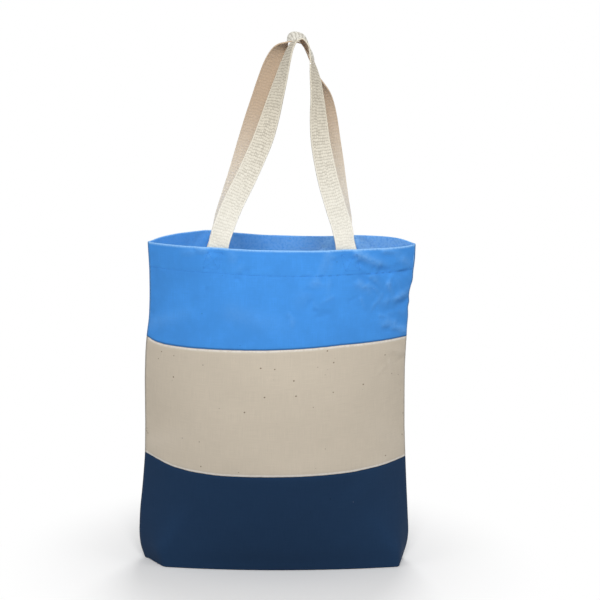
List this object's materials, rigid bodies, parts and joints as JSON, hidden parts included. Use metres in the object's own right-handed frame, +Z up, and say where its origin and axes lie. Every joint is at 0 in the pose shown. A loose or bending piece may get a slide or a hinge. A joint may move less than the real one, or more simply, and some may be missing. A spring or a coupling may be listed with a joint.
{
  "type": "tote bag",
  "caption": "Open-topped canvas tote bag in colour-blocked bands, with a boxed base and long webbing handles that fold down outside the rim.",
  "frame": {"origin": "middle of the base, on the surface that the bag stands on", "axes": "+Z up, +X to the right of someone who faces the front, +Y towards the back"},
  "size_m": [0.35, 0.1708, 0.6666],
  "materials": {
    "blue_canvas": "plain weave, matt",
    "natural_canvas": "undyed plain weave with seed flecks, matt",
    "navy_canvas": "plain weave, matt",
    "cotton_webbing": "ribbed undyed webbing, matt",
    "blue_thread": "matt",
    "natural_thread": "matt",
    "navy_thread": "matt"
  },
  "bodies": {
    "bag": {"back_handle_ends": "cotton_webbing", "back_handle_tacks": "natural_thread", "back_hem_stitching": "blue_thread", "back_lower_seam_stitching": "navy_thread", "back_middle_panel": "natural_canvas", "back_top_panel": "blue_canvas", "back_upper_seam_stitching": "natural_thread", "bottom_panel": "navy_canvas", "front_handle_ends": "cotton_webbing", "front_handle_tacks": "natural_thread", "front_hem_stitching": "blue_thread", "front_lower_seam_stitching": "navy_thread", "front_middle_panel": "natural_canvas", "front_top_panel": "blue_canvas", "front_upper_seam_stitching": "natural_thread", "left_corner_stitching": "navy_thread", "left_side_overlock": "natural_thread", "right_corner_stitching": "navy_thread", "right_side_overlock": "natural_thread"},
    "front_handle": {"front_handle_loop": "cotton_webbing"},
    "back_handle": {"back_handle_loop": "cotton_webbing"}
  },
  "joints": [
    {"name": "front_handle_fold", "type": "hinge", "parent": "bag", "child": "front_handle", "pos_m": [0, -0.07096, 0.4075], "axis": [1, 0, 0], "range_deg": [0, 178]},
    {"name": "back_handle_fold", "type": "hinge", "parent": "bag", "child": "back_handle", "pos_m": [0, 0.07096, 0.4075], "axis": [-1, 0, 0], "range_deg": [0, 178]}
  ]
}
